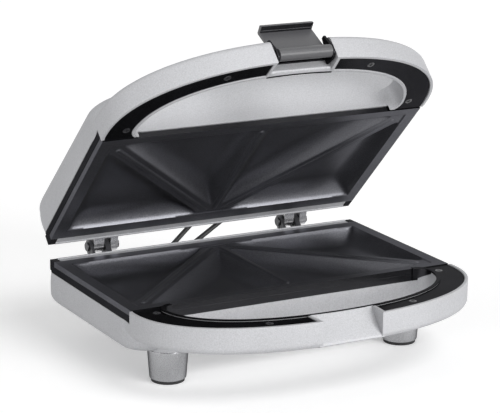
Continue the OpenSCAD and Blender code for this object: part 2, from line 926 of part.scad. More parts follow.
module lid_shell() {
    color("silver") in_lid()
        difference() {
            housing(lid_depth, lid_draft, lid_crown, lid_floor_r, lid_front_band, lid_notch, lid_lead_x);
            for (s = [-1, 1])
                translate([s * lens_x, lens_y, -lid_depth - 5])
                    cylinder(r = lens_r + 0.15, h = 12, $fn = 32);
        }
}

module lid_frame() {
    color("#1b1b1d") in_lid() frame(lid_front_band);
}

module upper_plate() {
    color("#2b2b2f") in_lid() plate();
}

module upper_heater() {
    color("#5b5650") in_lid() element();
}

module upper_reflector() {
    color("lightgray") in_lid() reflector();
}

module upper_plate_screws() {
    color("gray") in_lid() plate_screws();
}

module lid_frame_screws() {
    color("gray") in_lid() frame_screw_set();
}

module lid_hinge(s) {
    color("silver") in_lid()
        translate([s * hinge_span / 2, 0, 0])
            hinge_half_part(lid_knuckles, close_gap - hinge_up, hinge_pin_r + running);
}

// Lamp lens with a bevelled top and a flange inside the lid
module lens(s) {
    translate([s * lens_x, lens_y, -lid_depth - 1]) {
        cylinder(r1 = lens_r - 1.2, r2 = lens_r, h = 1.4, $fn = 32);
        translate([0, 0, 1.4])
            cylinder(r = lens_r, h = 4.55, $fn = 32);
        translate([0, 0, 4.5])
            cylinder(r = lens_r + 1.2, h = 1.45, $fn = 32);
    }
}

module power_lens() {
    color("red") in_lid() lens(-1);
}

module ready_lens() {
    color("green") in_lid() lens(1);
}

// Carrier for the two lamps behind the lenses
module lamp_holder() {
    color("ivory") in_lid()
        translate([0, lens_y, -lid_depth + 5]) {
            translate([-lens_x - 8, -5, 0])
                cube([2 * lens_x + 16, 10, 1.5]);
            for (s = [-1, 1]) {
                translate([s * lens_x, 0, 1])
                    cylinder(r = 2.6, h = 3.5, $fn = 24);
                translate([s * (lens_x + 6.5), 0, -1.9])
                    cylinder(r = 1.5, h = 3, $fn = 24);
            }
        }
}

// Cheeks that carry the latch pin, joined by a web behind the barrel
module latch_bracket() {
    cheek = [[lid_notch_wall, -3], [pivot_f - 2, -1.5], [pivot_f + 2.6, -3.5], [pivot_f + 3, -pivot_up - 2],
        [pivot_f + 0.5, -14], [pivot_f - 1, -18.5], [pivot_f - 4, -18.5], [pivot_f - 5, -14],
        [lid_notch_wall, -13]];
    color("#1b1b1d") in_lid()
        difference() {
            union() {
                for (s = [-1, 1])
                    translate([s * (latch_half + gap + cheek_t / 2), 0, 0])
                        bow_profile(cheek, cheek_t / 2);
                bow_profile([[lid_notch_wall, -6], [lid_notch_wall + 1.5, -6], [lid_notch_wall + 1.5, -13],
                    [lid_notch_wall, -13]], latch_half + gap + cheek_t);
            }
            latch_axis(latch_half + 5, latch_pin_r);
        }
}

module latch_axis(half, r) {
    translate([-half, pan_front - pivot_f, -pivot_up])
        rotate([0, 90, 0])
            cylinder(r = r, h = 2 * half, $fn = 32);
}

module latch_pin() {
    color("silver") in_lid() latch_axis(latch_half + gap + cheek_t, latch_pin_r);
}

// Latch: barrel, plate and a lip that hooks under the base's bow
module latch() {
    front = -barrel_r - 0.2;
    end = lip_top + lip_t;
    profile = [
        [front + latch_t, -1], [front + latch_t, lip_top], [front + lip_reach, lip_top],
        [front + lip_reach, lip_top + 1], [front + lip_reach - 1, end], [front + 0.8, end],
        [front, end - 0.8], [front, -1]];
    color("#5c5c60") in_lid()
        translate([0, pan_front - pivot_f, -pivot_up])
            rotate([latch_swing, 0, 0])
                difference() {
                    rotate([90, 0, 90])
                        translate([0, 0, -latch_half])
                            union() {
                                cylinder(r = barrel_r, h = 2 * latch_half);
                                linear_extrude(2 * latch_half)
                                    polygon(profile);
                            }
                    rotate([0, 90, 0])
                        cylinder(r = latch_pin_r + running, h = 3 * latch_half, center = true, $fn = 32);
                }
}

base_shell();
base_frame();
lower_plate();
lower_heater();
lower_reflector();
lower_plate_screws();
thermostat();
thermal_fuse();
terminal_block();
cord_gland();
base_frame_screws();
foot_front_left();
foot_front_right();
foot_rear_left();
foot_rear_right();
pad_front_left();
pad_front_right();
pad_rear_left();
pad_rear_right();
foot_screws();
base_hinge(-1);  // base_hinge_left
base_hinge(1);  // base_hinge_right
hinge_pin_side(-1);  // hinge_pin_left
hinge_pin_side(1);  // hinge_pin_right
lead_left();
lead_right();
lid_shell();
lid_frame();
upper_plate();
upper_heater();
upper_reflector();
upper_plate_screws();
lid_frame_screws();
lid_hinge(-1);  // lid_hinge_left
lid_hinge(1);  // lid_hinge_right
power_lens();
ready_lens();
lamp_holder();
latch_bracket();
latch_pin();
latch();
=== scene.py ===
# %% [markdown]
# # A two-slice sandwich toaster in Blender
#
# The toaster is two pressed housings with bow handles, hinged at the back, with a cast plate in each.
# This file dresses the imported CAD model: it keeps the small CAD pieces and gives them finishes, and it
# rebuilds the large curved ones as surfaces worked out with numpy, because their smooth highlights
# show every facet of a plain mesh.

import bmesh
import bpy
import numpy as np
from mathutils import Matrix


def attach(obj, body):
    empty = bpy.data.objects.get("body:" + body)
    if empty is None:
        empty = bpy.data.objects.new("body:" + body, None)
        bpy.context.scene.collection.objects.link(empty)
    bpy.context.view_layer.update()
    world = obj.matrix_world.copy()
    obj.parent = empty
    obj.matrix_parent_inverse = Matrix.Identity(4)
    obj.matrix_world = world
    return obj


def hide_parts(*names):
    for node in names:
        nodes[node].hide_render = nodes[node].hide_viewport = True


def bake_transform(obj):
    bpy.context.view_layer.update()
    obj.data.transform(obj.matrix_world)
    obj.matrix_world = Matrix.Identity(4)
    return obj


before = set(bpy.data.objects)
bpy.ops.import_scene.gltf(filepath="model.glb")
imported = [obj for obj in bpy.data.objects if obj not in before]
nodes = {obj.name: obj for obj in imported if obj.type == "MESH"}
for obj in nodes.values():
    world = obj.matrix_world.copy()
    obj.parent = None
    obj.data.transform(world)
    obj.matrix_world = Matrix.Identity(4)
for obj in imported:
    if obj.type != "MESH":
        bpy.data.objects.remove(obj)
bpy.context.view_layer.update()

# %% [markdown]
# ## The camera
#
# A product is usually shown from far away through a long lens, so that its two halves keep their
# proportions. The camera stands 1.3 m away, to the front left and a little above, and its matrix is
# built from three axes: right, up, and back from the subject.

# %% Camera
SENSOR_MM, LENS_MM, SHIFT_UP = 36, 146.7, -0.0018
AZIMUTH, ELEVATION, ROLL = -28.31, 14.65, 0.5  # degrees; azimuth 0 is straight in front
TARGET, DISTANCE = (0, 0.0237, 0.0894), 1.3229  # metres


def look_at(azimuth, elevation, roll, target, distance):
    """Camera matrix. Back points from the target to the camera; right is level, then both turn by the roll."""
    az, el, turn = np.radians([azimuth, elevation, roll])
    back = np.array([np.sin(az) * np.cos(el), -np.cos(az) * np.cos(el), np.sin(el)])
    right = np.cross(-back, [0, 0, 1])
    right /= np.linalg.norm(right)
    up = np.cross(right, -back)
    right, up = np.cos(turn) * right + np.sin(turn) * up, np.cos(turn) * up - np.sin(turn) * right
    matrix = np.eye(4)
    matrix[:3, 0], matrix[:3, 1], matrix[:3, 2] = right, up, back
    matrix[:3, 3] = np.array(target) + distance * back
    return Matrix(matrix.tolist())


camera = bpy.data.objects.new("camera", bpy.data.cameras.new("camera"))
bpy.context.scene.collection.objects.link(camera)
bpy.context.scene.camera = camera
camera.data.sensor_width, camera.data.lens = SENSOR_MM, LENS_MM
camera.data.shift_y = SHIFT_UP
camera.matrix_world = look_at(AZIMUTH, ELEVATION, ROLL, TARGET, DISTANCE)
print("camera at", [round(c, 3) for c in camera.matrix_world.translation])

# %% [markdown]
# ## Sizes and the two places
#
# Both halves are drawn the same way, in millimetres: the rim lies in the plane z = 0 and the hollow
# side faces down. The base is then lifted onto its feet. The lid is turned over, laid on the base
# and swung open about the hinge. One drawing therefore serves both halves.

# %% Sizes
BODY_W, BODY_D, WALL = 230, 125.5, 2.2  # a housing without its bow
FRONT, BACK = -BODY_D / 2, BODY_D / 2
FRONT_R, BACK_R = 14, 5  # corner radii of its plan
SIDE_BAND, SWELL = 8, 0.9  # the dark band at the sides, and how far the sides swell out below it
LEDGE_LOW, LIP_UP, LIP_W = 0.4, 0.3, 1.8  # the ledge behind the plate, and the lip at its back
BOW_START, BOW_REACH, BOW_DEPTH = 3, 71, 17  # where the bow starts and ends in front, and its depth
BOW_A, BOW_B, BOW_POWER = BODY_W / 2 + 1, BOW_REACH - BOW_START, 2.25
HOLE_A, HOLE_B, HOLE_R = 95, 52, 8  # the finger opening, and the radius in its corners
NOTCH_HALF, NOTCH_FLARE = 20.4, 1.4  # half the latch notch, and how much wider it is at the opening
STEP_FRONT = 0.8  # how far in front of the pan the bow's rim steps up
PLATE_X, PLATE_FRONT, PLATE_BACK, PLATE_EDGE = 114.4, -62.15, 55.25, 3.6  # half width, ends, thickness
POCKET_X, POCKET_FRONT, POCKET_BACK = 106, -55.15, 45.75  # the rectangle that holds the pockets
Y_MID, RIM_Z = -24.4376, 51.5  # the middle of the whole outline, and the height of the base's rim
HINGE_Y, HINGE_UP = 73.45, 1.8  # the hinge axis behind the outline and above the base's rim
CLOSE_GAP, OPEN_ANGLE = 1, 44.6  # between the shut rims, and degrees


def place_base(points):
    """From the half's own frame to the model: back by the outline's middle, up by the rim's height, mm to m."""
    return (points + [0, -Y_MID, RIM_Z]) / 1000


def place_lid(points):
    """Turned over, laid on the base, then turned back about the hinge axis by the open angle."""
    shut = points * [1, 1, -1] + [0, -HINGE_Y, CLOSE_GAP - HINGE_UP]
    a = np.radians(OPEN_ANGLE)
    y = shut[..., 1] * np.cos(a) + shut[..., 2] * np.sin(a)
    z = shut[..., 2] * np.cos(a) - shut[..., 1] * np.sin(a)
    return place_base(np.stack([shut[..., 0], y, z], -1) + [0, HINGE_Y, HINGE_UP])


print("lid rim front edge at", place_lid(np.array([0.0, FRONT, 0.0])).round(4))

# %% [markdown]
# ## From grids of points to a mesh
#
# Every new piece is a grid of points: rows run one way over the surface, columns the other. The
# shell function turns such grids into quads, closes the ends with caps, merges the seams and lets
# Blender turn all faces outwards. Sharp edges are found by angle, so the rest shades smoothly, and a
# Weighted Normal modifier keeps large flat faces flat.

# %% Mesh helpers
MERGE, SLIVER = 1e-6, 1e-7  # metres
SHARP = 35  # degrees: a steeper edge than this stays sharp


def quads(rows, cols, wrap_rows=False, wrap_cols=False):
    """Corner numbers of every cell of a rows x cols grid, as one array; wrap joins the last line to the first."""
    i, j = np.meshgrid(np.arange(rows - (not wrap_rows)), np.arange(cols - (not wrap_cols)), indexing="ij")
    i2, j2 = (i + 1) % rows, (j + 1) % cols
    return np.stack([i * cols + j, i * cols + j2, i2 * cols + j2, i2 * cols + j], -1).reshape(-1, 4)


def closed_grid(grid, wrap_rows=False, wrap_cols=False, caps="rows"):
    """One closed part from a grid: its quads, and a cap over the first and last row or column."""
    rows, cols = grid.shape[:2]
    index = np.arange(rows * cols).reshape(rows, cols)
    faces = quads(rows, cols, wrap_rows, wrap_cols).tolist()
    ends = {"rows": [index[0], index[-1]], "cols": [index[:, 0], index[:, -1]], "": []}[caps]
    return grid.reshape(-1, 3), faces + [end.tolist() for end in ends]


def shell(name, parts, place, material, body, replaces=(), sharp=SHARP):
    """One piece from closed parts, each (points, faces), put in place and given to a body and a slot."""
    points, faces, start = [], [], 0
    for part_points, part_faces in parts:
        points.append(part_points)
        faces += [[start + k for k in face] for face in part_faces]
        start += len(part_points)
    mesh = bpy.data.meshes.new(name)
    mesh.from_pydata(place(np.vstack(points)).tolist(), [], faces)
    bm = bmesh.new()
    bm.from_mesh(mesh)
    bmesh.ops.remove_doubles(bm, verts=bm.verts, dist=MERGE)
    bmesh.ops.dissolve_degenerate(bm, edges=bm.edges, dist=SLIVER)
    bmesh.ops.recalc_face_normals(bm, faces=bm.faces)
    bm.to_mesh(mesh)
    bm.free()
    mesh.shade_smooth()
    mesh.set_sharp_from_angle(angle=np.radians(sharp))
    mesh.materials.append(material)
    piece = bpy.data.objects.new(name, mesh)
    bpy.context.scene.collection.objects.link(piece)
    normals = piece.modifiers.new("flat faces stay flat", "WEIGHTED_NORMAL")
    normals.keep_sharp = True
    if isinstance(body, str):
        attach(piece, body)
    if replaces:
        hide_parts(*replaces)
    print(name, len(mesh.polygons), "faces")
    return piece


# %% [markdown]
# ## Materials
#
# Each finish is a Principled shader whose colour, roughness and bump come from noise on Object
# coordinates, so the pattern is fixed to the piece at its real scale. Metres are small units here:
# a noise scale of 1500 gives grains under a millimetre.

# %% Material helper
NOISE_LOW, NOISE_HIGH = 0.3, 0.7  # nearly all values of a noise lie between these
CLOUD_SCALE, GRAIN_DETAIL, CLOUD_DETAIL = 18.0, 2.0, 3.0


def finish(name, color, roughness, metallic=0.0, grain=1500.0, grain_color=0.06, grain_rough=0.08,
           bump=0.1, bump_mm=0.02, cloud=0.05, stretch=(1, 1, 1), coat=0.0, specular=0.5, edge=1.0):
    """A Principled material: colour times (1 +- grain_color) times (1 +- cloud), roughness +- grain_rough / 2, and a
    fine bump. Edge is how much a metallic surface mirrors at a shallow angle, 1 for all of it."""
    material = bpy.data.materials.new(name)
    material.use_nodes = True
    tree = material.node_tree
    new, link = tree.nodes.new, tree.links.new
    shader = tree.nodes["Principled BSDF"]
    coords, mapping = new("ShaderNodeTexCoord"), new("ShaderNodeMapping")
    mapping.inputs["Scale"].default_value = stretch
    link(coords.outputs["Object"], mapping.inputs["Vector"])

    def noise(scale, detail):
        """A noise on the piece's own coordinates."""
        node = new("ShaderNodeTexNoise")
        node.inputs["Scale"].default_value = scale
        node.inputs["Detail"].default_value = detail
        link(mapping.outputs["Vector"], node.inputs["Vector"])
        return node.outputs["Fac"]

    def spread(value, low, high):
        """The noise's values brought to lie between low and high."""
        node = new("ShaderNodeMapRange")
        node.inputs["From Min"].default_value, node.inputs["From Max"].default_value = NOISE_LOW, NOISE_HIGH
        node.inputs["To Min"].default_value, node.inputs["To Max"].default_value = low, high
        link(value, node.inputs["Value"])
        return node.outputs["Result"]

    grains, clouds = noise(grain, GRAIN_DETAIL), noise(CLOUD_SCALE, CLOUD_DETAIL)
    shade = new("ShaderNodeMath")
    shade.operation = "MULTIPLY"
    link(spread(grains, 1 - grain_color, 1 + grain_color), shade.inputs[0])
    link(spread(clouds, 1 - cloud, 1 + cloud), shade.inputs[1])
    tint = new("ShaderNodeVectorMath")
    tint.operation = "SCALE"
    tint.inputs[0].default_value = color
    link(shade.outputs["Value"], tint.inputs["Scale"])
    link(tint.outputs["Vector"], shader.inputs["Base Color"])
    link(spread(grains, roughness - grain_rough / 2, roughness + grain_rough / 2), shader.inputs["Roughness"])
    relief = new("ShaderNodeBump")
    relief.inputs["Strength"].default_value = bump
    relief.inputs["Distance"].default_value = bump_mm / 1000
    link(grains, relief.inputs["Height"])
    link(relief.outputs["Normal"], shader.inputs["Normal"])
    shader.inputs["Metallic"].default_value = metallic
    shader.inputs["Coat Weight"].default_value = coat
    shader.inputs["Coat Roughness"].default_value = 0.08
    shader.inputs["Specular IOR Level"].default_value = specular
    shader.inputs["Specular Tint"].default_value = (edge, edge, edge, 1)
    return material


# %% [markdown]
# The housings are sprayed with silver paint: metal flakes under a thin lacquer. Flakes scatter the
# light, so the paint is rougher and paler than bare metal and has tiny bright and dark grains. Black
# gloss and non-stick coating mirror their white surroundings less at a shallow angle than bare metal
# does, so their edge value is low.

# %% Finishes
silver = finish("silver_paint", (0.51, 0.513, 0.53), 0.60, metallic=0.38, grain=1500, grain_color=0.12,
                grain_rough=0.12, bump=0.28, bump_mm=0.025, cloud=0.04, specular=0.2, edge=0.3)
foot_silver = finish("foot_silver", (0.39, 0.392, 0.404), 0.27, metallic=0.9, grain=1500, grain_color=0.05,
                     grain_rough=0.05, bump=0.08, bump_mm=0.02, specular=0.2, edge=0.08)
# The frame's black gloss also paints shade: the corner bands of the base's opening, the line across the notch, the
# latch strips and the plates' front edges.
black_bezel_and_shade = finish("black_gloss", (0.034, 0.034, 0.037), 0.22, metallic=0.9, grain=500, grain_color=0.1,
               grain_rough=0.05, bump=0.05, bump_mm=0.01, cloud=0.15, specular=0.0, edge=0.42)
nonstick = finish("nonstick_coating", (0.14, 0.141, 0.154), 0.35, metallic=0.88, grain=1500, grain_color=0.20,
                  grain_rough=0.10, bump=0.25, bump_mm=0.02, cloud=0.12, specular=0.0, edge=0.3)
latch_plastic = finish("latch_plastic", (0.085, 0.085, 0.090), 0.35, grain=1200, grain_color=0.10, bump=0.2,
                       bump_mm=0.02, cloud=0.06)
steel = finish("bright_steel", (0.70, 0.70, 0.71), 0.25, metallic=1.0, grain=900, grain_color=0.06,
               bump=0.1, bump_mm=0.01, stretch=(1, 6, 6))
dark_steel = finish("dark_steel", (0.07, 0.07, 0.075), 0.32, metallic=0.6, grain=900, grain_color=0.12,
                    bump=0.15, bump_mm=0.01)
rubber = finish("pad_rubber", (0.020, 0.020, 0.021), 0.75, grain=1100, grain_color=0.15, bump=0.4, bump_mm=0.03)
lead_rubber = finish("lead_rubber", (0.012, 0.012, 0.013), 0.45, grain=900, grain_color=0.15, bump=0.2, bump_mm=0.02)
ceramic = finish("ceramic", (0.72, 0.68, 0.60), 0.55, grain=700, grain_color=0.05, bump=0.2, bump_mm=0.02)
element_steel = finish("element_sheath", (0.20, 0.17, 0.15), 0.45, metallic=0.8, grain=800, grain_color=0.15)
red_glass = finish("red_lens", (0.45, 0.015, 0.012), 0.15, grain=400, grain_color=0.05, bump=0.05, coat=0.5)
green_glass = finish("green_lens", (0.02, 0.28, 0.07), 0.15, grain=400, grain_color=0.05, bump=0.05, coat=0.5)
print(len(bpy.data.materials), "materials")

# %% [markdown]
# ## CAD pieces that stay
#
# Small rigid pieces are right as the CAD has them. Moulded and turned edges are never perfectly
# sharp, so a Weld modifier joins their loose triangles, a narrow Bevel catches the light along each
# edge, and Weighted Normal keeps the flats flat.

# %% Dress the CAD nodes
WELD = 2e-6  # metres


def dress(names, material, bevel_mm):
    """Gives CAD nodes a finish, and a rounded edge of that width."""
    for name in names.split():
        piece = nodes[name]
        piece.material_slots[0].material = material
        piece.data.polygons.foreach_set("use_smooth", np.ones(len(piece.data.polygons), bool))
        weld = piece.modifiers.new("weld", "WELD")
        weld.merge_threshold = WELD
        bevel = piece.modifiers.new("edges", "BEVEL")
        bevel.width, bevel.segments = bevel_mm / 1000, 2
        bevel.limit_method, bevel.angle_limit = "ANGLE", np.radians(SHARP)
        piece.modifiers.new("normals", "WEIGHTED_NORMAL")


dress("base_frame lid_frame", black_bezel_and_shade, 0.4)
dress("latch_bracket", black_bezel_and_shade, 0.3)
dress("latch", latch_plastic, 0.35)
dress("foot_front_left foot_front_right foot_rear_left foot_rear_right", foot_silver, 0.6)
dress("pad_front_left pad_front_right pad_rear_left pad_rear_right", rubber, 0.5)
dress("base_hinge_left base_hinge_right", dark_steel, 0.35)
dress("lid_hinge_left lid_hinge_right", steel, 0.35)
dress("hinge_pin_left hinge_pin_right", dark_steel, 0.2)
dress("latch_pin foot_screws", steel, 0.2)
dress("base_frame_screws lid_frame_screws", dark_steel, 0.12)
dress("lower_plate_screws upper_plate_screws", steel, 0.12)
dress("lower_reflector upper_reflector", steel, 0.15)
dress("lower_heater upper_heater", element_steel, 0.2)
dress("thermostat terminal_block thermal_fuse lamp_holder", ceramic, 0.2)
dress("cord_gland", rubber, 0.4)
dress("power_lens", red_glass, 0.3)
dress("ready_lens", green_glass, 0.3)

# %% [markdown]
# ## The leads between base and lid
#
# Two insulated leads cross the gap behind the plates. They leave the base, climb as one loose bow
# and enter the lid. A circle is carried along a smooth route; because the leads cross the hinge, the route
# starts in the base's frame and ends in the lid's, with the lid standing open.

# %% Leads
LEAD_R, LEAD_Z, LEAD_IN, LEAD_OUT = 1.65, 10, 10, 5.5
LEAD_SIDES, LEAD_SHARP = 14, 60
ROUNDS = 3  # of corner cutting
LEADS = (("lead_left", -30, 1), ("lead_right", -16, 27))  # x where each leaves the base and enters the lid


def from_lid(point):
    """A point of the lid's own frame in the base's frame, with the lid standing open."""
    return 1000 * place_lid(np.array(point, float)) + [0, Y_MID, -RIM_Z]


def lead_route(base_x, lid_x):
    """Out of the base's back wall, straight across the gap, into the lid's back wall."""
    base_out = np.array([base_x, BACK + LEAD_OUT, -LEAD_Z])
    lid_out = from_lid([lid_x, BACK + LEAD_OUT, -LEAD_Z])
    return np.array([
        [base_x, BACK - LEAD_IN, -LEAD_Z], base_out, 0.8 * base_out + 0.2 * lid_out, 0.2 * base_out + 0.8 * lid_out,
        lid_out, from_lid([lid_x, BACK - LEAD_IN, -LEAD_Z])])


def cut_corners(route):
    """Chaikin's rule: every corner gives way to two points, a quarter and three quarters along each side."""
    a, b = route[:-1], route[1:]
    inner = np.stack([0.75 * a + 0.25 * b, 0.25 * a + 0.75 * b], 1).reshape(-1, 3)
    return np.vstack([route[:1], inner, route[-1:]])


def tube(route, radius):
    """A ring of points round each point of the route, square to it: the ring's first axis is the tangent crossed with
    up, the second is the first crossed with the tangent, and a point is radius * (cos a * first + sin a * second)."""
    tangent = np.gradient(route, axis=0)
    tangent /= np.linalg.norm(tangent, axis=1)[:, None]
    across = np.cross(tangent, [0, 0, 1])
    across /= np.linalg.norm(across, axis=1)[:, None]
    over = np.cross(across, tangent)
    a = np.linspace(0, 2 * np.pi, LEAD_SIDES, endpoint=False)
    return route[:, None] + radius * (
        np.cos(a)[None, :, None] * across[:, None] + np.sin(a)[None, :, None] * over[:, None])


for name, base_x, lid_x in LEADS:
    route = corners = lead_route(base_x, lid_x)
    for _ in range(ROUNDS):
        route = cut_corners(route)
    lead = shell("wired_" + name, [closed_grid(tube(route, LEAD_R), wrap_cols=True)], place_base, lead_rubber,
                 None, (name,), LEAD_SHARP)
    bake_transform(lead)

# %% [markdown]
# ## The pan of a housing
#
# Each housing starts as a pressed pan: an outline with rounded corners, drawn in a little as it goes
# down, rolling over into a flat or crowned floor. The surface is a stack of outlines. Rows run from
# the floor up the outside, over the rim and back down the inside, so the pan is a closed skin with a
# real wall.

# %% Pan
WALL_RINGS, ROLL_RINGS, CROWN_RINGS = 8, 10, 8
CROWN_REACH = 40  # how far in from the rolled edge the crown climbs


def arc(x, y, r, a0, a1, n=10):
    """Points of a circle's arc, (x + r cos a, y + r sin a) for a from a0 to a1 in degrees."""
    a = np.radians(np.linspace(a0, a1, n + 1))
    return np.column_stack([x + r * np.cos(a), y + r * np.sin(a)])


def pan_outline(inset, lean, tail, ahead=0.0):
    """The housing's plan, drawn in by inset, less by ahead in front, where the corners are rounder by as much; its
    sides lean in further by lean in front and by tail at the back. The two ends of the front line are doubled, so
    that a step can stand there."""
    x, y0, y1 = BODY_W / 2 - inset, FRONT + inset - ahead, BACK - inset - max(tail, 0)
    rf, rb = min(FRONT_R + 0.3 * inset + ahead, y1 - 1), min(BACK_R + 0.5 * inset, y1 - 1)
    xf, xb = x - lean - rf, x - tail - rb
    return np.vstack([
        [[xf, y0]], arc(xf, y0 + rf, rf, -90, 0), arc(xb, y1 - rb, rb, 0, 90),
        arc(-xb, y1 - rb, rb, 90, 180), arc(-xf, y0 + rf, rf, 180, 270), [[-xf, y0]]])


def ring(outline, z, front_up=0.0):
    """An outline lifted to the height z; its front line stands higher by front_up."""
    heights = np.full(len(outline), float(z))
    heights[[0, -1]] += front_up
    return np.column_stack([outline, heights])


def pan(depth, draft, crown, r, front_up, crisp=0.0):
    """Rings from the floor to the rim outside and back inside. With s running from 0 at the rim to 1 at the foot of
    the wall, the side leans in by draft * s - 2 * swell * s * (1 - s), at the back by draft / 2 * s * s - swell *
    (1 - (1 - s) ** 3). The floor's edge is a quarter circle, tighter in front by the share crisp, and the crown
    rises as a parabola to the middle."""
    start = depth - crown - r
    s = np.linspace(0, 1, WALL_RINGS)
    leans = draft * s - 2 * SWELL * s * (1 - s)
    tails = draft / 2 * s * s - SWELL * (1 - (1 - s) ** 3)
    section = list(zip(np.zeros(WALL_RINGS), leans, tails, SIDE_BAND + s * (start - SIDE_BAND)))
    a = np.radians(np.linspace(0, 90, ROLL_RINGS + 1)[1:])
    end = np.full(ROLL_RINGS, draft), np.full(ROLL_RINGS, tails[-1])
    section += list(zip(r * (1 - np.cos(a)), *end, start + r * np.sin(a)))
    if crown:
        s = np.linspace(0, 1, CROWN_RINGS + 1)[1:]
        section += list(zip(r + CROWN_REACH * s, *(e[:CROWN_RINGS] for e in end), depth - crown * (1 - s) ** 2))
    outer = [ring(pan_outline(i, lean, tail, crisp * min(i, r)), -z, 0 if k else front_up)
             for k, (i, lean, tail, z) in enumerate(section)]
    inner = [ring(pan_outline(i + WALL, lean, tail, crisp * min(i, r)), -z + (WALL if k >= WALL_RINGS else 0),
                  0 if k else front_up) for k, (i, lean, tail, z) in enumerate(section)]
    return closed_grid(np.array(outer[::-1] + inner), wrap_cols=True)


# %% [markdown]
# ## The bow handle
#
# The handle is a bow: its outer edge is a superellipse, a curve between an ellipse and a rectangle,
# and so is the edge of the finger opening. Each half of the bow, left and right of the latch notch,
# is a channel: its section is a closed loop that goes down the outer wall, across the bottom, up the
# wall of the opening and back inside. Every line of that section is a curve from the root of the bow
# to the notch.

# %% Curves of the bow
CURVE_POINTS, CROWDING = 240, 1.3  # a power above 1 sets the points closer at the root
CORNER_POINTS = 24
ROOT_IN, ROOT_BACK = 5, 37  # how far the bow's outer wall runs on into the housing
PAST_BOW = BOW_REACH + 5  # the notch has its least width this far in front of the housing


def superellipse(a, b):
    """Left half of the front edge: |x/a|^p + |y/b|^p = 1, from the far left to the middle."""
    t = np.radians(90 * np.linspace(0, 1, CURVE_POINTS) ** CROWDING)
    p = 2 / BOW_POWER
    return np.column_stack([-a * np.cos(t) ** p, FRONT - BOW_START - b * np.sin(t) ** p])


def outer_curve(inset):
    """Outer edge of the bow, drawn in by inset; behind the housing's front it slants into the housing."""
    edge = superellipse(BOW_A - inset, BOW_B - inset)
    return np.vstack([[edge[0] + [ROOT_IN, ROOT_BACK - inset]], edge])


def edge_normals(line):
    """Unit normals of a polyline, to the left of its direction."""
    d = np.gradient(line, axis=0)
    d /= np.linalg.norm(d, axis=1)[:, None]
    return np.column_stack([d[:, 1], -d[:, 0]])


def opening_edge():
    """Edge of the finger opening: an arc of radius HOLE_R from the housing's front line into the superellipse.
    The arc's centre is where the superellipse, moved in by that radius, is that radius in front of the line."""
    edge = superellipse(HOLE_A, HOLE_B)
    away = edge_normals(edge)
    away *= np.sign(away[-1, 1] * -1)
    moved = edge - HOLE_R * away
    k = int(np.argmax(moved[:, 1] < FRONT - HOLE_R))
    centre = moved[k]
    end = np.degrees(np.arctan2(*(edge[k] - centre)[::-1])) % 360
    return np.vstack([arc(centre[0], centre[1], HOLE_R, 90, end, CORNER_POINTS)[:-1], edge[k:]])


OPENING = opening_edge()
AWAY = edge_normals(OPENING)
AWAY *= np.sign(-AWAY[-1, 1])


def inner_curve(out):
    """Edge of the finger opening, moved away from the opening by out."""
    return OPENING + out * AWAY


def cut_where(line, value):
    """Splits a polyline where value, given at its points, first turns positive; both parts get the cut point."""
    k = int(np.argmax(value > 0))
    t = -value[k - 1] / (value[k] - value[k - 1])
    at = line[k - 1] + t * (line[k] - line[k - 1])
    return np.vstack([line[:k], at]), np.vstack([at, line[k:]])


def evenly(line, n):
    """n points along a polyline, evenly spaced by length."""
    along = np.concatenate([[0], np.cumsum(np.linalg.norm(np.diff(line, axis=0), axis=1))])
    at = np.linspace(0, along[-1], n)
    return np.column_stack([np.interp(at, along, line[:, 0]), np.interp(at, along, line[:, 1])])


def notch_edge(points):
    """Half width of the latch notch at each point; it grows in a straight line by the flare, back to the opening."""
    forward = FRONT - points[:, 1]
    return NOTCH_HALF + NOTCH_FLARE * (PAST_BOW - forward) / (PAST_BOW - HOLE_B)


# %% [markdown]
# The rim of the bow stands higher than the rim of the pan beside it. Where the two meet, the curve
# is split and its point doubled, so the surface climbs straight up there.

# %% One half of the bow
ROOT_COLS, BOW_COLS = 12, 70
EASE = 0.35
RIM = [(EASE, 0), (0.1, -0.1), (0, -EASE)]  # the eased top edge of a wall
EDGE_R, LIP_R = 4.0, 1.6  # the rounded lower edges, outside and in the finger opening


def bow_line(curve, z, short, side_top):
    """One line of the bow's section: root points no higher than side_top, then points at z, up to the notch."""
    root, rest = cut_where(curve, FRONT - STEP_FRONT - curve[:, 1])
    rest, _ = cut_where(rest, rest[:, 0] + notch_edge(rest) + short)
    line = np.vstack([evenly(root, ROOT_COLS), evenly(rest, BOW_COLS)])
    heights = np.full(len(line), float(z))
    heights[:ROOT_COLS] = min(z, side_top)
    return np.column_stack([line, heights])


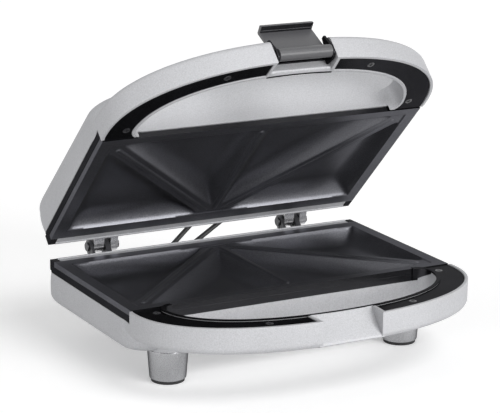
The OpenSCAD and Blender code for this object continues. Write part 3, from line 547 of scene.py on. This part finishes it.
def bow_half(side, inner_top):
    """Closed channel from lines along the outer edge and along the finger opening, each as (inset, height). The
    lower edges are quarter circles: inset r * (1 - cos t) and height r * (1 - sin t) above the bottom."""
    t = np.radians(np.linspace(0, 90, 7))
    outer = RIM + [(0, -5), (0, -9), (0, -BOW_DEPTH + EDGE_R)]
    outer += list(zip(EDGE_R * (1 - np.cos(t[1:])), -BOW_DEPTH + EDGE_R * (1 - np.sin(t[1:]))))
    opening = list(zip(LIP_R * (1 - np.sin(t[:-1])), -BOW_DEPTH + LIP_R * (1 - np.cos(t[:-1]))))
    opening += [(0, -BOW_DEPTH + LIP_R), (0, -9), (0, -5)] + RIM[::-1]
    in_opening = [(WALL - EASE, 0), (WALL, -EASE), (WALL, -BOW_DEPTH + WALL)]
    in_outer = [(EDGE_R, -BOW_DEPTH + WALL), (WALL, -BOW_DEPTH + EDGE_R), (WALL, -EASE), (WALL - EASE, 0)]
    lines = [bow_line(outer_curve(i), z, 0, -SIDE_BAND) for i, z in outer]
    lines += [bow_line(inner_curve(i), z, 0, inner_top) for i, z in opening]
    lines += [bow_line(inner_curve(i), z, WALL, inner_top) for i, z in in_opening]
    lines += [bow_line(outer_curve(i), z, WALL, -SIDE_BAND) for i, z in in_outer]
    grid = np.array(lines) * [side, 1, 1]
    count = len(outer) + len(opening)
    points, faces = closed_grid(grid, wrap_rows=True, caps="")
    index = np.arange(grid.shape[0] * grid.shape[1]).reshape(grid.shape[:2])
    last, first = index[:, -1], index[:, 0]
    faces += [first.tolist(), last[:count].tolist(), last[count:].tolist(),
              [int(last[0]), int(last[-1]), int(last[count]), int(last[count - 1])]]
    return points, faces


# %% [markdown]
# In the middle both bows open into a notch for the latch. In the base it is a ramp down to the
# bow's lower edge; in the lid only a thin web is left, and the latch's barrel sits in front of it.
# Each is a bar across the notch. The ledge behind the plate is another bar, and the seats of the feet
# are short cones in the base's floor. Then all the parts of a housing become one piece.

# %% Notch, ledge and foot seats
NOTCH_COLS, NOTCH_OVERLAP = 25, 1
NEAR = 10
LEDGE_COLS, BACK_EDGE_R, LIP_EDGE_R = 9, 0.8, 0.4
FOOT_SEAT = [(13, -30), (13.75, -21.5)]  # radius and height of both ends of its cone
FOOT_PLACES = ((84.5, 10.5), (64, 107.5))  # x to either side, and how far behind the front
SEAT_SIDES = 48


def notch_block(section):
    """A bar across the notch. Its section holds (forward, height); forward counts from the opening's edge where it
    is less than NEAR, and from the housing's front where it is more."""
    x = np.linspace(-NOTCH_HALF - NOTCH_FLARE - NOTCH_OVERLAP, NOTCH_HALF + NOTCH_FLARE + NOTCH_OVERLAP, NOTCH_COLS)
    edge = FRONT - np.interp(-np.abs(x), OPENING[:, 0], OPENING[:, 1])
    lines = [np.column_stack([x, FRONT - (edge + f if f < NEAR else np.full(NOTCH_COLS, f)), np.full(NOTCH_COLS, z)])
             for f, z in section]
    return closed_grid(np.array(lines), wrap_rows=True, caps="cols")


def ledge():
    """Strip behind the plate: a section along x with a flat a little below the rim and a rounded lip at its back."""
    half, front, lip = BODY_W / 2 - BACK_R - 0.5, PLATE_BACK + 0.3, BACK - LIP_W
    t = np.radians(np.linspace(0, 90, 6))
    round_back = np.column_stack([BACK - BACK_EDGE_R * (1 - np.cos(t)), LIP_UP - BACK_EDGE_R * (1 - np.sin(t))])
    round_front = np.column_stack([lip + LIP_EDGE_R * (1 - np.sin(t)), LIP_UP - LIP_EDGE_R * (1 - np.cos(t))])
    section = np.vstack([[BACK, -SIDE_BAND - 0.5], round_back, round_front, [lip, -LEDGE_LOW],
                         [front + 0.3, -LEDGE_LOW], [front, -LEDGE_LOW - 0.3], [front, -LEDGE_LOW - WALL],
                         [BACK - WALL, -LEDGE_LOW - WALL], [BACK - WALL, -SIDE_BAND - 0.5]])
    x = np.linspace(-half, half, LEDGE_COLS)
    grid = np.stack([np.column_stack([x, np.full(LEDGE_COLS, y), np.full(LEDGE_COLS, z)]) for y, z in section])
    return closed_grid(grid, wrap_rows=True, caps="cols")


def lathe(profile, x, y):
    """A profile of (radius, height) turned about a vertical axis: points (x + r cos a, y + r sin a, height)."""
    a = np.linspace(0, 2 * np.pi, SEAT_SIDES, endpoint=False)
    grid = np.array([np.column_stack([x + r * np.cos(a), y + r * np.sin(a), np.full(SEAT_SIDES, z)])
                     for r, z in profile])
    return closed_grid(grid, wrap_cols=True)


BASE_NOTCH = [(0, -15.4), (0, -9), (0, -0.3), (0.3, 0), (55.6, -0.4), (60, -4.9), (65, -9.9), (69.2, -14.1),
              (69.6, -14.9), (69.6, -15.8), (69.0, -16.4), (67.4, -17), (60, -17), (1.6, -17), (0.5, -16.5)]
LID_NOTCH = [(0, -15.4), (0, -9), (0, -0.3), (0.3, 0), (57.6, -0.5), (58.3, -1.2), (58.5, -2), (58.5, -16.4),
             (58.0, -17), (1.6, -17), (0.5, -16.5)]

BASE_PAN = {"depth": 30, "draft": 0.5, "crown": 0, "r": 8.5, "front_up": 0}
LID_PAN = {"depth": 38, "draft": 3, "crown": 3, "r": 12, "front_up": 4, "crisp": 0.85}
LID_BAND = 4  # the opening's wall stops this far below the rim at the root of the lid's bow

base_parts = [pan(**BASE_PAN), bow_half(1, -SIDE_BAND), bow_half(-1, -SIDE_BAND), notch_block(BASE_NOTCH), ledge()]
base_parts += [lathe(FOOT_SEAT, side * x, FRONT + y) for side in (-1, 1) for x, y in FOOT_PLACES]
shell("base_housing", base_parts, place_base, silver, "base", ("base_shell",))
lid_parts = [pan(**LID_PAN), bow_half(1, -LID_BAND), bow_half(-1, -LID_BAND), notch_block(LID_NOTCH), ledge()]
shell("lid_housing", lid_parts, place_lid, silver, "lid", ("lid_shell",))

# %% [markdown]
# Round the base's finger opening the black trim laps over the silver lip. At both ends a black band turns
# down over the tight corner, less and less along the arc: painted shade for that dark corner. Both are
# thin bars carried along that edge.

# %% Edge trim and painted corner shade
def edge_bar(side, line, away, section, taper=1.0):
    """A section of (distance outwards, height) carried along the line; heights under -1 are times the taper."""
    lines = [np.column_stack([line + o * away, z * (taper if z < -1 else 1) * np.ones(len(line))])
             for o, z in section]
    return closed_grid(np.array(lines) * [side, 1, 1], wrap_rows=True, caps="cols")


LIP_COVER = [(2.4, 0.3), (0.1, 0.3), (-0.12, 0.1), (-0.12, -0.7), (0.2, -0.7), (0.2, -0.3), (2.4, -0.3)]
# The corner's section is a black band of painted shade, shallower and shallower along the arc.
CORNER = [(2.4, 0.35), (0.2, 0.35), (-0.35, 0), (-0.35, -SIDE_BAND), (0.3, -SIDE_BAND), (0.3, -0.35), (2.4, -0.35)]
TURN = slice(0, CORNER_POINTS + 6)  # the corner's arc and the first points of the long curve
FULL, LEAST = 1, 0.13
corner_shade_taper = np.linspace(FULL, LEAST, TURN.stop)
to_notch = OPENING[:, 0] < -(NOTCH_HALF + NOTCH_FLARE)
trim_and_shade_parts = [part for side in (-1, 1) for part in (
    edge_bar(side, OPENING[to_notch], AWAY[to_notch], LIP_COVER),
    edge_bar(side, OPENING[TURN], AWAY[TURN], CORNER, corner_shade_taper))]
shell("base_opening_trim_and_shade", trim_and_shade_parts, place_base, black_bezel_and_shade, "base")

# %% [markdown]
# Across the latch notch a thin black line runs along the edge of the finger opening, in both halves:
# painted shade along that edge. It is the notch's bar again, with a much smaller section.

# %% Painted shade line across the notch
NOTCH_LINE = [(-0.2, -1.0), (-0.2, 0.2), (0.9, 0.2), (0.9, -0.3), (0.2, -0.3), (0.2, -1.0)]
for half, place in (("base", place_base), ("lid", place_lid)):
    shell(half + "_notch_shade_line", [notch_block(NOTCH_LINE)], place, black_bezel_and_shade, half)

# %% [markdown]
# ## Painted shade lines on the latch
#
# The latch is one moulded bar: a barrel, a flat plate and a lip that hooks under the base. Black strips
# of painted shade lie at the foot of the plate, above the barrel, and on the face and root of the lip. They
# are drawn in the latch's own section, as distances out and up from its pivot, and turned with it to where
# the CAD has it.

# %% Latch strips of painted shade
LATCH_HALF, LATCH_SWING = 18.3, 198  # half its width, and degrees from hooked to swung back
LATCH_FORWARD, LATCH_UP = 68.5, 6.5  # its pivot, in front of the housing and away from the rim
LATCH_FACE, LIP_TIP, LIP_LOW, BARREL_TOP = -1.8, 3.2, 24.9, 3.6  # places in its section
STRIP_HALF, STRIP_EASE, STRIP_COLS = LATCH_HALF - 0.15, 0.08, 5


def place_latch(points):
    """From the latch's section to the lid's own frame: turned by the swing about its pivot, then as the lid."""
    a = np.radians(LATCH_SWING)
    y = points[..., 1] * np.cos(a) - points[..., 2] * np.sin(a)
    z = points[..., 1] * np.sin(a) + points[..., 2] * np.cos(a)
    return place_lid(np.stack([points[..., 0], y + FRONT - LATCH_FORWARD, z - LATCH_UP], -1))


def strip(out, up):
    """A flat bar across the latch between two distances out from the pivot and two heights up, edges eased."""
    (a, b), (c, d), e = out, up, STRIP_EASE
    loop = [(a + e, c), (b - e, c), (b, c + e), (b, d - e), (b - e, d), (a + e, d), (a, d - e), (a, c + e)]
    x = np.linspace(-STRIP_HALF, STRIP_HALF, STRIP_COLS)
    grid = np.array([np.column_stack([x, np.full(STRIP_COLS, u), np.full(STRIP_COLS, w)]) for u, w in loop])
    return closed_grid(grid, wrap_rows=True, caps="cols")


# Black strips of painted shade: on the lip's face, at the lip's root, and at the plate's foot above the barrel.
shell("latch_shade_strips", [
    strip((LIP_TIP - 3.1, LIP_TIP + 0.05), (LIP_LOW - 0.2, LIP_LOW + 0.1)),
    strip((LATCH_FACE + 0.1, LATCH_FACE + 1.5), (LIP_LOW - 0.2, LIP_LOW + 0.1)),
    strip((LATCH_FACE - 0.1, LATCH_FACE + 0.15), (BARREL_TOP, BARREL_TOP + 1)),
], place_latch, black_bezel_and_shade, "latch")

# %% [markdown]
# ## The plates
#
# The cast plates are the heart of the toaster: four triangular pockets, each pair split by a ridge
# that cuts and seals the sandwich. A cast plate is a height over a rectangle, so it is worked out
# that way: the depth at a point depends on how far inside its pocket it lies. The walls curve in to
# the floor, which makes the long soft gleams of a real plate, and a narrow rib runs along each ridge,
# where the real one presses the edges of the bread together.

# %% Plates
CELLS_X, CELLS_Y, STEP = 80, 41, 5  # cells of the underside, and how many times finer the top is
RIDGE, DEPTH, DROP, UNDER = 6, 9, 0.8, 2.5  # UNDER is the least thickness
SLOPE, WALL_POWER, CORNER_SOFT = 16, 2.4, 1.6  # the width and curve of a pocket's wall, and its soft corners
RIB_HALF, RIB_UP, RIB_EASE, RIB_OUT = 1.5, 0.7, 1.2, 0.5
OUTER_POCKET = [[POCKET_X, POCKET_FRONT + 1.2 * RIDGE], [POCKET_X, POCKET_BACK], [1.7 * RIDGE, POCKET_BACK]]
INNER_POCKET = [[RIDGE / 2, POCKET_FRONT], [POCKET_X - 1.2 * RIDGE, POCKET_FRONT],
                [RIDGE / 2, POCKET_BACK - 1.2 * RIDGE]]
MIDDLE_RIB = ([0, POCKET_FRONT + 3.5], [0, POCKET_BACK - 4.5])
SLANTED_RIB = ([POCKET_X - 7, POCKET_FRONT + 7], [1.1 * RIDGE, POCKET_BACK - 0.6 * RIDGE])


def smooth_step(u):
    """0 up to 0, 1 from 1, and 3 u^2 - 2 u^3 between."""
    u = np.clip(u, 0, 1)
    return u * u * (3 - 2 * u)


def to_segment(x, y, a, b):
    """Distance to the nearest point of the segment from a to b."""
    a, d = np.array(a, float), np.array(b, float) - a
    t = np.clip(((x - a[0]) * d[0] + (y - a[1]) * d[1]) / (d @ d), 0, 1)
    return np.hypot(x - a[0] - t * d[0], y - a[1] - t * d[1])


def inside(x, y, corners):
    """Distance inside a triangle: the least distance to its three sides. The least is taken softly, as
    -k log(sum of exp(-d / k)), which rounds the corners off."""
    corners, d, k = np.array(corners), [], CORNER_SOFT
    for a, b in zip(corners, np.roll(corners, -1, axis=0)):
        n = np.array([a[1] - b[1], b[0] - a[0]]) / np.linalg.norm(b - a)
        d.append((x - a[0]) * n[0] + (y - a[1]) * n[1])
    return -k * np.logaddexp.reduce(-np.array(d) / k, axis=0)


def plate_height(x, y):
    """0 on the flat rim and DROP lower inside it. A pocket sinks by 1 - (1 - d / SLOPE) ** WALL_POWER of its depth
    at the distance d inside it, and a rib adds its height within its half width, over a short smooth step."""
    x = np.abs(x)
    rim = np.minimum(POCKET_X - x, np.minimum(y - POCKET_FRONT, POCKET_BACK - y))
    z = -DROP * np.clip(rim / DROP + 0.5, 0, 1)
    for corners in (OUTER_POCKET, INNER_POCKET):
        t = np.clip(inside(x, y, corners) / SLOPE, 0, 1)
        z -= (DEPTH - DROP) * (1 - (1 - t) ** WALL_POWER)
    for a, b in (MIDDLE_RIB, SLANTED_RIB):
        z += RIB_UP * smooth_step((RIB_HALF + RIB_OUT - to_segment(x, y, a, b)) / RIB_EASE)
    return z


def plate():
    """Top over a fine grid, underside over every fifth point of it, and a wall round the edge between the two."""
    x, y = np.meshgrid(np.linspace(-PLATE_X, PLATE_X, CELLS_X * STEP + 1),
                       np.linspace(PLATE_FRONT, PLATE_BACK, CELLS_Y * STEP + 1))
    top = np.stack([x, y, plate_height(x, y)], -1)
    under = top[::STEP, ::STEP].copy()
    under[..., 2] = np.minimum(-PLATE_EDGE, under[..., 2] - UNDER)
    index = np.arange(x.size).reshape(x.shape)
    low = x.size + np.arange(under[..., 0].size).reshape(under.shape[:2])

    def border(k):
        """Corner numbers once round the edge of a grid, from its first corner along the front."""
        return np.concatenate([k[0, :-1], k[:-1, -1], k[-1, :0:-1], k[:0:-1, 0]]).tolist()

    fine, coarse = border(index), border(low)
    fine, coarse = fine + fine[:1], coarse + coarse[:1]
    wall = [fine[STEP * k:STEP * k + STEP + 1] + [coarse[k + 1], coarse[k]] for k in range(len(coarse) - 1)]
    faces = quads(*x.shape).tolist() + (quads(*low.shape)[:, ::-1] + x.size).tolist() + wall
    return np.vstack([top.reshape(-1, 3), under.reshape(-1, 3)]), faces


PLATE_SHARP = 50
lower = shell("lower_grill_plate", [plate()], place_base, nonstick, "base", ("lower_plate",), PLATE_SHARP)
upper = shell("upper_grill_plate", [plate()], place_lid, nonstick, "lid", ("upper_plate",), PLATE_SHARP)

# %% [markdown]
# The front edge of a plate, inside the finger opening, gets the black finish: painted shade for the
# shadow on that edge. The faces of the edge wall come last in the mesh, and the front ones come first among them.

# %% Painted shade on the plates' front edges
EDGE_FACES = 2 * (CELLS_X + CELLS_Y)
for piece in (lower, upper):
    piece.data.materials.append(black_bezel_and_shade)
    shaded_faces = np.zeros(len(piece.data.polygons), np.int32)
    first = len(shaded_faces) - EDGE_FACES
    shaded_faces[first:first + CELLS_X] = 1
    piece.data.polygons.foreach_set("material_index", shaded_faces)
print(CELLS_X, "dark faces on each plate")

# %% [markdown]
# ## Floor, world and lamps
#
# The background is white for the camera and in reflections, while the light on the object stays at a
# plain level. The floor is a pale matt sheet that adds a little light of its own, for the camera and
# in reflections only, so it reads as white and still keeps the object's shadow.

# %% Floor and world
FLOOR_HALF, FLOOR_GREY, FLOOR_GLOW = 6, 0.9, 0.30
SOFT_LIGHT, WHITE = 0.43, 1.0

far = FLOOR_HALF
floor_mesh = bpy.data.meshes.new("floor")
floor_mesh.from_pydata([(-far, -far, 0), (far, -far, 0), (far, far, 0), (-far, far, 0)], [], [(0, 1, 2, 3)])
floor = bpy.data.objects.new("floor", floor_mesh)
bpy.context.scene.collection.objects.link(floor)


def seen_directly(tree):
    """1 for camera, glossy and transmission rays, 0 for the rays that carry light between surfaces."""
    path, a, b = (tree.nodes.new(kind) for kind in ("ShaderNodeLightPath", "ShaderNodeMath", "ShaderNodeMath"))
    a.operation = b.operation = "MAXIMUM"
    tree.links.new(path.outputs["Is Camera Ray"], a.inputs[0])
    tree.links.new(path.outputs["Is Glossy Ray"], a.inputs[1])
    tree.links.new(a.outputs[0], b.inputs[0])
    tree.links.new(path.outputs["Is Transmission Ray"], b.inputs[1])
    return b.outputs[0]


floor_look = bpy.data.materials.new("pale_floor")
floor_look.use_nodes = True
tree = floor_look.node_tree
paper = tree.nodes["Principled BSDF"]
paper.inputs["Base Color"].default_value = (FLOOR_GREY, FLOOR_GREY, FLOOR_GREY, 1)
paper.inputs["Roughness"].default_value = 0.9
paper.inputs["Specular IOR Level"].default_value = 0.1
glow = tree.nodes.new("ShaderNodeMath")
glow.operation = "MULTIPLY"
glow.inputs[1].default_value = FLOOR_GLOW
tree.links.new(seen_directly(tree), glow.inputs[0])
tree.links.new(glow.outputs[0], paper.inputs["Emission Strength"])
paper.inputs["Emission Color"].default_value = (1, 1, 1, 1)
floor_mesh.materials.append(floor_look)

world = bpy.data.worlds.new("studio")
bpy.context.scene.world = world
world.use_nodes = True
tree = world.node_tree
soft = tree.nodes["Background"]
soft.inputs["Color"].default_value = (1, 1, 1, 1)
soft.inputs["Strength"].default_value = SOFT_LIGHT
white, mix = tree.nodes.new("ShaderNodeBackground"), tree.nodes.new("ShaderNodeMixShader")
white.inputs["Color"].default_value = (1, 1, 1, 1)
white.inputs["Strength"].default_value = WHITE
tree.links.new(seen_directly(tree), mix.inputs[0])
tree.links.new(soft.outputs[0], mix.inputs[1])
tree.links.new(white.outputs[0], mix.inputs[2])
tree.links.new(mix.outputs[0], tree.nodes["World Output"].inputs["Surface"])

# %% [markdown]
# Three wide suns do the rest. A sun lights the whole floor evenly, and its angle, 30 degrees across,
# makes its shadows as soft as a large lamp would. The key stands low in front on the right, so the
# front walls are brighter than the left sides; one higher up lights the lid's front, which faces
# upwards while the lid is open, and a weak one from the left fills that side.

# %% Lamps
SUN_WIDTH = 30


def soft_sun(name, azimuth, elevation, strength):
    """A wide sun from that direction; its strength is pi times the brightness it gives a white face towards it."""
    lamp = bpy.data.objects.new(name, bpy.data.lights.new(name, "SUN"))
    lamp.data.energy, lamp.data.angle = strength, np.radians(SUN_WIDTH)
    lamp.matrix_world = look_at(azimuth, elevation, 0, (0, 0, 0.1), 2)
    bpy.context.scene.collection.objects.link(lamp)


soft_sun("key", 20, 12, 1.75)
soft_sun("top", 20, 52, 0.98)
soft_sun("fill", -85, 12, 0.45)
bpy.context.scene.view_settings.view_transform = "Standard"
print("3 suns, world at", SOFT_LIGHT)
